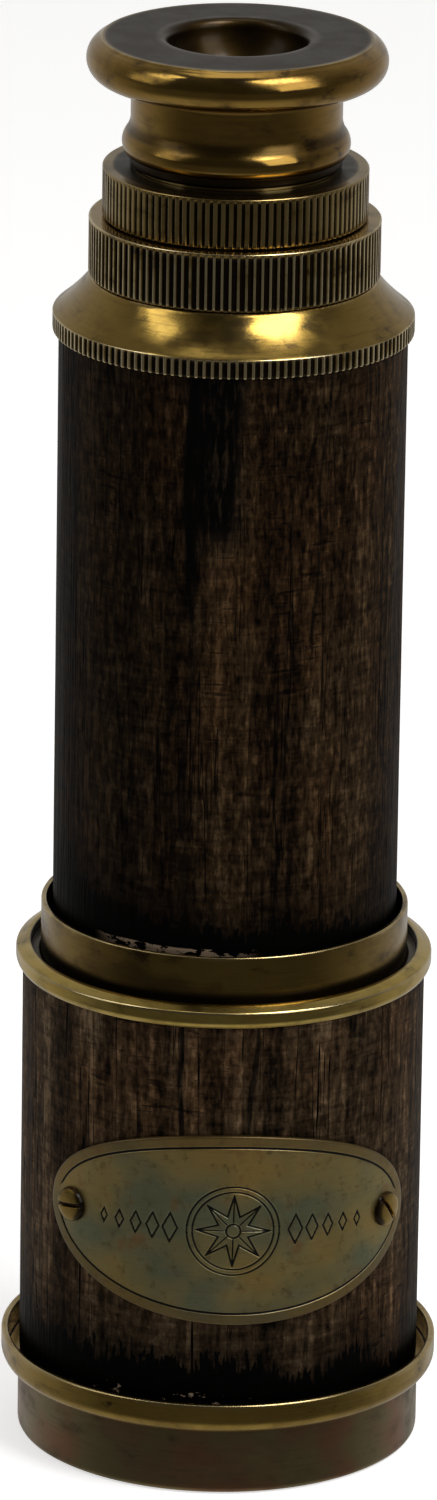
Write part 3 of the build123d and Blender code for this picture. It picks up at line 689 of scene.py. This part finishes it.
LOWER_RIBS, UPPER_RIBS, SHOULDER_RIBS = 114, 105, 140
RIB_STEPS = 12          # sides of the mesh to one rib
RIB_DEPTH = 0.24
PLAIN_SIDES = 360
SKIRT_R = 14.37
SHOULDER_RIM_H = 2.2
CONE_MIDDLE = (16.68, 125.04)
BOSS_R = 10.95          # eyepiece
NECK_R = 10.92
UNDER_R = 13.6
FACE_R = 14.2
UNDER_RISE = 8.7
HOLE_R = 7.18
APERTURE_R = 5.2
DRUM_BORE = 18.7
CAP_BORE = 20.7
CAP_FLOOR = 1.2
CAP_AXIS_R = 0.02
RIM_FOOT_R = 21.6
RIM_WALL = 0.75
GROOVE_R = 20.3
outer_draw_r, _, outer_draw_top = turned_size("outer_draw_tube")
middle_draw_r, _, middle_draw_top = turned_size("middle_draw_tube")
inner_draw_r, _, inner_draw_top = turned_size("inner_draw_tube")


def collar_shade_and_grime(grooves, clean_r, top):
    """Painted shade, with some grime, in a collar's knurling, and painted shade on its top face inside
    clean_r.
    """

    def shade_and_grime(angle, radius, height):
        on_top = step_up(height, top - 0.1, top - 0.02)
        inner = (1 - step_up(radius, clean_r - 0.35, clean_r + 0.15)) * on_top
        return np.maximum(grooves(angle, radius, height), inner)

    return shade_and_grime


def lower_collar():
    r, low, high = turned_size("outer_draw_collar")
    outline = rounded(
        [
            (outer_draw_r + GLUE, low, 0),
            (r, low, 0.5),
            (r, high, 0.2),
            (middle_draw_r + SLIDE, high, 0.12),
            (middle_draw_r + SLIDE, outer_draw_top, 0),
            (outer_draw_r + GLUE, outer_draw_top, 0),
        ]
    )
    relief, shade_and_grime = ribs(LOWER_RIBS, RIB_DEPTH, low + 0.3, high - 0.5, 0.18, r, 0.18, 0.5, 5)
    marks = {"shade_and_grime": collar_shade_and_grime(shade_and_grime, middle_draw_r + 1.2, high)}
    piece = turned_piece("lower_collar", divided(outline, 0.35), LOWER_RIBS * RIB_STEPS, relief, marks)
    dress(piece, "outer_draw", "aged_brass", collar_brass, "outer_draw_collar")


def upper_collar():
    r, low, high = turned_size("middle_draw_collar")
    outline = rounded(
        [
            (middle_draw_r + GLUE, low, 0),
            (r, low, 0.3),
            (r, high, 0.2),
            (inner_draw_r + SLIDE, high, 0.1),
            (inner_draw_r + SLIDE, middle_draw_top, 0),
            (middle_draw_r + GLUE, middle_draw_top, 0),
        ]
    )
    relief, shade_and_grime = ribs(UPPER_RIBS, RIB_DEPTH, low + 0.2, high - 0.45, 0.16, r, 0.45, 0.95, 7)
    marks = {"shade_and_grime": collar_shade_and_grime(shade_and_grime, inner_draw_r + 2.2, high)}
    piece = turned_piece("upper_collar", divided(outline, 0.35), UPPER_RIBS * RIB_STEPS, relief, marks)
    dress(piece, "middle_draw", "aged_brass", upper_collar_brass, "middle_draw_collar")


def shoulder():
    r, low, high = turned_size("shoulder_cap")
    rim_low = turned_size("barrel_wood_sleeve")[2]
    rim_high = rim_low + SHOULDER_RIM_H
    top_r = turned_size("outer_draw_collar")[0] - 0.1
    bore = outer_draw_r + SLIDE
    cone = arc((r - 0.22, rim_high), CONE_MIDDLE, (top_r, high - 0.15))
    corners = [(bore, low, 0), (SKIRT_R, low, 0), (SKIRT_R, rim_low, 0), (r, rim_low, 0.25)]
    corners += [(r, rim_high - 0.2, 0.1)] + plain(cone) + [(top_r - 0.18, high, 0.08), (bore, high, 0.1)]
    relief, shade_and_grime = ribs(
        SHOULDER_RIBS, RIB_DEPTH, rim_low + 0.05, rim_high - 0.35, 0.12, r, 0.25, 0.6, 9
    )
    sides = SHOULDER_RIBS * RIB_STEPS
    piece = turned_piece("shoulder", divided(rounded(corners), 0.3), sides, relief, {"shade_and_grime": shade_and_grime})
    dress(piece, "barrel", "aged_brass", collar_brass, "shoulder_cap")


def eyepiece():
    r, foot, top = turned_size("eyepiece_cup")
    seat_r = inner_draw_r + GLUE
    lens_seat = turned_size("eye_lens")[2]
    lens_bore = turned_size("eye_lens")[0] + 0.05
    under = foot + UNDER_RISE
    outline = [(seat_r, foot), (BOSS_R, foot), (BOSS_R, foot + 1.1)]
    outline += arc((11.45, foot + 1.1), (11.79, foot + 2.1), (11.35, foot + 3.4), 12)
    outline += arc((11.35, foot + 3.4), (11.0, foot + 4.2), (NECK_R, foot + 5.1), 8)[1:]
    outline += arc((NECK_R, under - 1.1), (11.242, under - 0.322), (12.02, under), 8)
    outline += arc((UNDER_R, under), (r - 0.005, under + 2.15), (FACE_R, top - 0.2), 24)
    face = [(FACE_R, top - 0.2, 0), (14.0, top, 0.15), (HOLE_R + 0.95, top, 0), (HOLE_R, top, 0)]
    outline += rounded(face)[1:-1]
    outline += arc((HOLE_R + 0.9, top), (HOLE_R + 0.2636, top - 0.2636), (HOLE_R, top - 0.9), 8)[1:]
    outline += arc((HOLE_R, top - 0.9), (HOLE_R - 0.7, top - 3.2), (APERTURE_R + 0.4, top - 4.4), 8)[1:]
    outline += [(APERTURE_R, top - 4.6), (APERTURE_R, lens_seat), (lens_bore, lens_seat)]
    outline += [(lens_bore, inner_draw_top + 0.2), (seat_r, inner_draw_top + 0.2)]

    # The eyepiece's flat face, which gets grey-brown patina and a painted reflection.
    def face_patina_and_reflection(angle, radius, height):
        flat = step_up(height, top - 0.12, top - 0.04)
        return flat * step_up(radius, HOLE_R + 0.9, HOLE_R + 1.6) * (1 - step_up(radius, 13.6, 14.0))

    # Painted shade inside the eye hole, below the bulb and on the neck's waist, and a painted shadow under
    # the disc.
    def shade_and_grime(angle, radius, height):
        inside = 1 - step_up(radius, HOLE_R - 0.6, HOLE_R + 0.1)
        inside = inside * (1 - step_up(height, top - 2.2, top - 0.6))
        below = (1 - step_up(height, foot + 0.95, foot + 1.1)) * 0.95
        under_disc = step_up(height, under - 1.3, under - 0.1) * (1 - step_up(radius, 13.4, 13.9))
        waist = step_up(height, foot + 3.0, foot + 3.6) * (1 - step_up(height, foot + 4.0, foot + 5.2))
        return np.maximum(np.maximum(inside, below), np.maximum(0.9 * under_disc, 0.6 * waist))

    piece = turned_piece("eyepiece", divided(outline, 0.3), PLAIN_SIDES, None, {"face_patina_and_reflection": face_patina_and_reflection, "shade_and_grime": shade_and_grime})
    dress(piece, "inner_draw", "aged_brass", eyepiece_brass, "eyepiece_cup")


def drum_sleeve():
    """The brass tube that shows above the drum's flange."""
    r, low, high = turned_size("drum_tube")
    bore = DRUM_BORE
    outline = rounded([(bore, low, 0), (r, low, 0), (r, high, 0.22), (bore, high, 0.22)])

    # Painted shadow in the low band just above the flange; the blotches higher up are tarnish.
    def shade_and_grime(angle, radius, height):
        low_band = 1 - step_up(height, 54.6, 55.5)
        blotch = np.exp(-(((angle - 5.9) / 0.55) ** 2)) + 0.5 * np.exp(-(((angle - 0.1) / 0.3) ** 2))
        ragged = 57.2 + 0.7 * np.sin(9 * angle) + 0.4 * np.sin(23 * angle + 1)
        below = 1 - step_up(height, ragged - 1.2, ragged + 0.8)
        return np.maximum(low_band, 0.6 * np.minimum(blotch, 1) * below)

    piece = turned_piece("drum_sleeve", divided(outline, 0.35), PLAIN_SIDES, None, {"shade_and_grime": shade_and_grime})
    dress(piece, "drum", "aged_brass", sleeve_brass, "drum_tube")


def drum_flange():
    r, low, high = turned_size("drum_flange_ring")
    bore = turned_size("drum_tube")[0] + GLUE
    groove_r, groove_z = GROOVE_R, high - 1.0
    outline = rounded(
        [
            (bore, low, 0),
            (r - 0.35, low, 0.12),
            (r, low + 0.5, 0.3),
            (r, high - 0.55, 0.22),
            (20.85, high, 0.22),
            (groove_r, high, 0.2),
            (groove_r, groove_z, 0.15),
            (bore, groove_z, 0),
        ],
        8,
    )

    # Painted shade on the floor of the groove.
    def shade_and_grime(angle, radius, height):
        return (1 - step_up(radius, GROOVE_R, 20.6)) * step_up(height, groove_z - 0.1, groove_z)

    piece = turned_piece("drum_flange", divided(outline, 0.3), PLAIN_SIDES, None, {"shade_and_grime": shade_and_grime})
    dress(piece, "drum", "aged_brass", flange_brass_painted_bright, "drum_flange_ring")


def cap_rim():
    r, low, high = turned_size("cap_rim_ring")
    bore = CAP_BORE
    foot_r = RIM_FOOT_R
    edge = r - foot_r
    quarter = edge * math.sqrt(0.5)
    outline = arc((foot_r, low), (foot_r + quarter, low + edge - quarter), (r, low + edge), 12)
    inner_r = r - RIM_WALL
    lip = [(r, low + edge, 0), (r, high, 0.3), (inner_r, high, 0.3), (inner_r, low + 0.8, 0.2)]
    outline += rounded(lip + [(bore, low + 0.8, 0.1), (bore, low, 0), (foot_r, low, 0)])[1:-1]
    piece = turned_piece("cap_rim", divided(outline, 0.35), PLAIN_SIDES)
    dress(piece, "end_cap", "aged_brass", drum_brass, "cap_rim_ring")


def cap():
    r, low, high = turned_size("cap_cup")
    outline = rounded(
        [
            (CAP_AXIS_R, low, 0),
            (r, low, 0.6),
            (r, high, 0.12),
            (CAP_BORE, high, 0.05),
            (CAP_BORE, CAP_FLOOR, 0.2),
            (CAP_AXIS_R, CAP_FLOOR, 0),
        ]
    )
    piece = turned_piece("cap", divided(outline, 0.6), PLAIN_SIDES)
    dress(piece, "end_cap", "cap_brass", cap_brass, "cap_cup")


lower_collar()
upper_collar()
shoulder()
eyepiece()
drum_sleeve()
drum_flange()
cap_rim()
cap()

# ---------------------------------------------------------------- oval plate and its screws

PLATE_TILT = math.radians(1.3)


def plate_frame():
    """Middle angle and height, half width along the curve and half height of the oval plate."""
    low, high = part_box("oval_plate")
    front_r = -low.y
    right, left = math.asin(high.x / front_r), math.asin(-low.x / front_r)
    turn, half_width = (right - left) / 2, front_r * (right + left) / 2 / MM
    return turn, (low.z + high.z) / 2 / MM, half_width, (high.z - low.z) / 2 / MM, front_r / MM


plate_turn, plate_z, half_arc, half_height, plate_r = plate_frame()
screw_arc = half_arc - 3.35


def on_drum(across, up, radius):
    """Points for places on the flat plate, at radii from the drum's axis."""
    angle = plate_turn + (across * math.cos(PLATE_TILT) + up * math.sin(PLATE_TILT)) / plate_r
    height = plate_z + up * math.cos(PLATE_TILT) - across * math.sin(PLATE_TILT)
    return np.stack((radius * np.sin(angle), -radius * np.cos(angle), height), axis=-1)


def inset(across, up):
    """Distance inside the plate's edge."""
    share = np.hypot(across / half_arc, up / half_height)
    slope = np.hypot(across / half_arc**2, up / half_height**2)
    return share * (1 - share) / np.maximum(slope, 1e-6)


def stroke(distance, half_width, soft=0.05):
    """1 on a line whose middle is at distance 0."""
    return 1 - step_up(np.abs(distance), half_width - soft, half_width + soft)


def star(across, up, points, outer, inner):
    """Signed distance, roughly, inside the outline of a star."""
    angle = np.arctan2(across, up) % (math.tau / points)
    angle = np.abs(angle - math.pi / points)
    radius = np.hypot(across, up)
    x, y = radius * np.sin(angle), radius * np.cos(angle)
    tip = np.array((outer * math.sin(math.pi / points), outer * math.cos(math.pi / points)))
    dent = np.array((0, inner))
    edge = tip - dent
    edge = edge / np.linalg.norm(edge)
    return -((x - dent[0]) * -edge[1] + (y - dent[1]) * edge[0])


def engraving(across, up):
    """Depth, 0 to 1, of the plate's border line and of its geometric ornament."""
    cut = stroke(inset(across, up) - 1.25, 0.13)
    for side in (-1, 1):
        cut = cut * step_up(np.hypot(across - side * screw_arc, up), 2.3, 2.6)
    radius = np.hypot(across, up)
    cut = np.maximum(cut, stroke(radius - 4.9, 0.1))
    cut = np.maximum(cut, stroke(radius - 4.3, 0.1))
    inside = 1 - step_up(radius, 4.0, 4.1)
    cut = np.maximum(cut, stroke(star(across, up, 8, 3.9, 1.7), 0.1) * inside)
    cut = np.maximum(cut, stroke(radius - 0.75, 0.1))
    turn = np.arctan2(across, up)
    spokes = np.abs(np.sin(turn * 4)) * radius / 4
    cut = np.maximum(cut, stroke(spokes, 0.07) * step_up(radius, 0.8, 1.0) * (1 - step_up(radius, 3.5, 3.7)))
    for side in (-1, 1):
        for k in range(5):
            middle = side * (6.7 + 1.9 * k)
            size = 1.0 - 0.13 * k
            diamond = np.abs(across - middle) / (0.8 * size) + np.abs(up) / (1.6 * size)
            cut = np.maximum(cut, stroke((diamond - 1) * 0.7 * size, 0.1))
    return cut


def oval_plate():
    sides = 900
    rings = np.concatenate((np.linspace(0.004, 0.8, 150), np.linspace(0.804, 1.0, 60)))
    turn = (np.arange(sides) * math.tau / sides)[:, None]
    across = half_arc * rings * np.cos(turn)
    up = half_height * rings * np.sin(turn)
    from_edge = inset(across, up)
    cut = engraving(across, up)
    eased = np.sqrt(np.maximum(0, 0.25**2 - (0.25 - np.minimum(from_edge, 0.25)) ** 2)) - 0.25
    wave = np.sin(across * 0.9 + 1.3 * np.sin(up * 0.7)) * np.sin(up * 1.1 + np.cos(across * 0.5))
    top_r = plate_r - 0.03 + 0.5 * eased - 0.09 * cut + 0.012 * wave
    base_r = turned_size("drum_wood_sleeve")[0] + GLUE
    rim_across, rim_up = across[:, -1:], up[:, -1:]
    under = np.array((1.0, 0.9, 0.75, 0.6, 0.45, 0.3, 0.15, 0.01))
    across = np.concatenate((across, rim_across * under), axis=1)
    up = np.concatenate((up, rim_up * under), axis=1)
    radius = np.concatenate((top_r, np.full((sides, len(under)), base_r)), axis=1)
    cut = np.concatenate((cut, np.zeros((sides, len(under)))), axis=1)
    edge = np.concatenate((from_edge, np.full((sides, len(under)), 2.0)), axis=1)
    points = on_drum(across, up, radius).reshape(-1, 3)
    rows = across.shape[1]
    i = np.arange(sides)[:, None]
    j = np.arange(rows - 1)[None, :]
    after = (i + 1) % sides
    faces = np.stack((i * rows + j, i * rows + j + 1, after * rows + j + 1, after * rows + j), axis=-1)
    faces = faces.reshape(-1, 4).tolist()
    faces.append([k * rows for k in range(sides)])
    faces.append([k * rows + rows - 1 for k in reversed(range(sides))])
    values = {"cut": cut, "edge": np.clip(edge / 2, 0, 1)}
    piece = finished_mesh("name_plate_oval", points, faces, values)
    dress(piece, "drum", "plate_brass", plate_paint, "oval_plate")


def plate_material():
    """Lacquered plate brass: olive and grey-green clouds, orange-brown heat marks, black-filled cuts."""
    paint = Paint("plate_patina")
    wide = paint.noise(9, paint.stretched(1, 1, 1.1, (0.004, 0, 0.003)), detail=3, roughness=0.45)
    cloud = paint.noise(3.2, paint.stretched(1, 1, 1, (0.01, 0.02, 0)), detail=4, roughness=0.6)
    fine = paint.noise(0.5, detail=3, roughness=0.6)
    hairs = paint.noise(0.25, paint.stretched(0.06, 0.06, 1), detail=3, roughness=0.7)
    clouds = [(0.30, (0.42, 0.28, 0.08)), (0.44, (0.35, 0.27, 0.10)), (0.60, (0.21, 0.215, 0.12))]
    colour = paint.ramp(wide, clouds)
    heat = paint.level(cloud, 0.54, 0.72, 0, 0.65)
    colour = paint.mix(heat, colour, (0.27, 0.13, 0.04))
    darkening = paint.level(paint.noise(1.3, detail=5, roughness=0.7), 0.52, 0.70, 0, 0.6)
    colour = paint.mix(darkening, colour, (0.13, 0.09, 0.03))
    border = paint.level(paint.attribute("edge"), 0.95, 0.4, 0, 0.6)
    colour = paint.mix(border, colour, (0.20, 0.125, 0.04))
    colour = paint.mix(paint.level(paint.attribute("edge"), 0.16, 0.02, 0, 0.6), colour, (0.1, 0.06, 0.02))
    colour = paint.mix(paint.level(hairs, 0.5, 0.72, 0, 0.2), colour, (0.12, 0.08, 0.03))
    filled = paint.level(paint.attribute("cut"), 0.25, 0.7)
    colour = paint.mix(filled, colour, (0.006, 0.005, 0.003))
    roughness = paint.level(cloud, 0.35, 0.7, 0.3, 0.45)
    roughness = paint.math("ADD", roughness, paint.math("MULTIPLY", filled, 0.3))
    relief = paint.bump(wide, 0.05)
    relief = paint.bump(fine, 0.006, relief)
    relief = paint.bump(hairs, 0.004, relief)
    paint.set(Base_Color=colour, Metallic=0.85, Roughness=roughness, Normal=relief)
    paint.set(Coat_Weight=0.3, Coat_Roughness=0.3)
    return paint.material


def screw(name, side, slot_turn):
    """A domed screw whose slot is a real cut, with a painted shadow in a crescent round one side of its
    head.
    """
    head_r, head_h = 1.85, 0.68
    rings = np.concatenate(([0.03], np.linspace(0.1, 1.0, 22)))
    sides = 96
    turn = (np.arange(sides) * math.tau / sides)[:, None]
    x = head_r * rings * np.cos(turn)
    y = head_r * rings * np.sin(turn)
    dome = head_h * (0.35 + 0.65 * np.sqrt(np.maximum(0, 1 - (rings * 0.98) ** 2))) + 0 * turn
    dome[:, -1] = 0.05
    off = x * math.sin(slot_turn) - y * math.cos(slot_turn)
    slot = 1 - step_up(np.abs(off), 0.17, 0.23)
    height = np.where(slot > 0, np.minimum(dome, dome * (1 - slot) + slot * 0.2), dome)
    angle = plate_turn + side * screw_arc * math.cos(PLATE_TILT) / plate_r
    middle_z = plate_z - side * screw_arc * math.sin(PLATE_TILT)
    out = np.array((math.sin(angle), -math.cos(angle), 0))
    right = np.array((math.cos(angle), math.sin(angle), 0))
    upward = np.array((0, 0, 1))
    seat = (plate_r + 0.02) * out + middle_z * upward
    top = seat + x[..., None] * right + y[..., None] * upward + height[..., None] * out
    shank = []
    for ring_r, depth in ((head_r, 0.0), (0.6, 0.0), (0.58, -1.55), (0.02, -1.6)):
        ring = seat + ring_r * (np.cos(turn) * right + np.sin(turn) * upward) + depth * out
        shank.append(ring[:, None, :])
    points = np.concatenate([top] + shank, axis=1)
    rows = points.shape[1]
    i = np.arange(sides)[:, None]
    j = np.arange(rows - 1)[None, :]
    after = (i + 1) % sides
    faces = np.stack((i * rows + j, i * rows + j + 1, after * rows + j + 1, after * rows + j), axis=-1)
    faces = faces.reshape(-1, 4).tolist()
    faces.append([k * rows for k in range(sides)])
    faces.append([k * rows + rows - 1 for k in reversed(range(sides))])
    worn = np.full((sides, rows), 0.55)
    worn[:, : len(rings)] = 0.62 - 0.6 * slot - 0.55 * step_up(np.broadcast_to(rings, slot.shape), 0.8, 1.0)
    # Painted shadow: a dark crescent on the head's inner side.
    crescent = np.zeros((sides, rows))
    crescent[:, : len(rings)] = step_up(rings + 0 * turn, 0.5, 0.9) * step_up(-side * np.cos(turn), 0.1, 0.8)
    return finished_mesh(name, points.reshape(-1, 3), faces, {"wear": np.clip(worn, 0, 1), "shade_and_grime": crescent})


plate_paint = plate_material()
oval_plate()
for label, side, slot_turn in (("screw_left", -1, 0.15), ("screw_right", 1, 2.2)):
    dress(screw(label, side, slot_turn), "drum", "aged_brass", drum_brass, "plate_screws")

# ---------------------------------------------------------------- floor, light and camera

bpy.ops.mesh.primitive_circle_add(vertices=96, radius=6.0, fill_type="NGON", location=(0, 0, -0.0001))
floor = bpy.context.object
floor.name = "floor"
floor_paint = Paint("floor")
floor_paint.set(Base_Color=(0.86, 0.855, 0.84), Roughness=0.9)
floor_paint.set(Emission_Color=(1, 1, 1), Emission_Strength=0.62)
floor.data.materials.append(floor_paint.material)
floor.visible_glossy = False

scene = bpy.context.scene
scene.view_settings.view_transform = "Standard"

# Strength of the world light towards the camera and behind the object, above and below level.
WORLD_ABOVE = (0.04, 0.40)
WORLD_BELOW = (0.08, 0.46)
WORLD_UNDER = 0.42


def studio_world():
    """Soft light that is dark towards the camera's side and pale behind, above and below."""
    world = bpy.data.worlds.new("studio")
    scene.world = world
    world.use_nodes = True
    tree = world.node_tree
    tree.nodes.clear()

    def node(kind, **inputs):
        made = tree.nodes.new(kind)
        for key, value in inputs.items():
            socket = made.inputs[key.replace("_", " ")]
            if isinstance(value, bpy.types.NodeSocket):
                tree.links.new(value, socket)
            else:
                socket.default_value = value
        return made

    def ease(value, low, high, to_low, to_high):
        limits = {"From_Min": low, "From_Max": high, "To_Min": to_low, "To_Max": to_high}
        made = node("ShaderNodeMapRange", Value=value, **limits)
        made.interpolation_type = "SMOOTHSTEP"
        return made.outputs["Result"]

    way = node("ShaderNodeSeparateXYZ", Vector=node("ShaderNodeTexCoord").outputs["Generated"])
    above = ease(way.outputs["Y"], -0.4, 0.95, WORLD_ABOVE[0], WORLD_ABOVE[1])
    below = ease(way.outputs["Y"], -0.6, 0.95, WORLD_BELOW[0], WORLD_BELOW[1])
    near = ease(way.outputs["Z"], -0.45, -0.85, 0, 1)
    below = node("ShaderNodeMix", Factor=near, A=below, B=WORLD_UNDER).outputs["Result"]
    mixed = node("ShaderNodeMix", Factor=ease(way.outputs["Z"], -0.12, 0.1, 0, 1), A=below, B=above)
    light = node("ShaderNodeBackground", Color=(1, 0.985, 0.955, 1), Strength=mixed.outputs["Result"])
    tree.links.new(light.outputs["Background"], node("ShaderNodeOutputWorld").inputs["Surface"])


studio_world()

middle = Vector((0, 0, (cad_box[0][2] + cad_box[1][2]) / 2))


def softbox(name, azimuth, elevation, distance, width, height, radiance):
    """An area light aimed at the object's middle. Azimuth 0 is the camera's side, +90 is +X."""
    a, e = math.radians(azimuth), math.radians(elevation)
    way = Vector((math.sin(a) * math.cos(e), -math.cos(a) * math.cos(e), math.sin(e)))
    data = bpy.data.lights.new(name, "AREA")
    data.shape = "RECTANGLE"
    data.size = width
    data.size_y = height
    data.energy = radiance * math.pi * width * height
    lamp = bpy.data.objects.new(name, data)
    lamp.location = middle + way * distance
    lamp.rotation_euler = way.to_track_quat("Z", "Y").to_euler()
    scene.collection.objects.link(lamp)


softbox("right", 48, 34, 0.9, 0.5, 0.7, 1.9)
softbox("right_core", 48, 60, 0.88, 0.35, 0.3, 9.0)
softbox("left", -76, 30, 0.9, 0.40, 0.6, 0.8)
softbox("left_core", -76, 54, 0.88, 0.2, 0.3, 2.4)
softbox("top", 12, 96, 0.9, 0.5, 0.3, 1.1)

CAMERA_LENS = 254.4
ELEVATION = math.radians(18.4)
DISTANCE = 1.111
ROLL = math.radians(0.88)
AIM_HEIGHT = 0.0753
AIM_SIDE = -0.00088
aim = Vector((AIM_SIDE, 0, AIM_HEIGHT))
camera_data = bpy.data.cameras.new("camera")
camera_data.sensor_width = 36
camera_data.lens = CAMERA_LENS
camera = bpy.data.objects.new("camera", camera_data)
scene.collection.objects.link(camera)
away = Vector((0, -math.cos(ELEVATION), math.sin(ELEVATION)))
camera.location = aim + away * DISTANCE
look = away.to_track_quat("Z", "Y")
camera.rotation_mode = "QUATERNION"
camera.rotation_quaternion = look @ Quaternion((0, 0, 1), ROLL)
scene.camera = camera
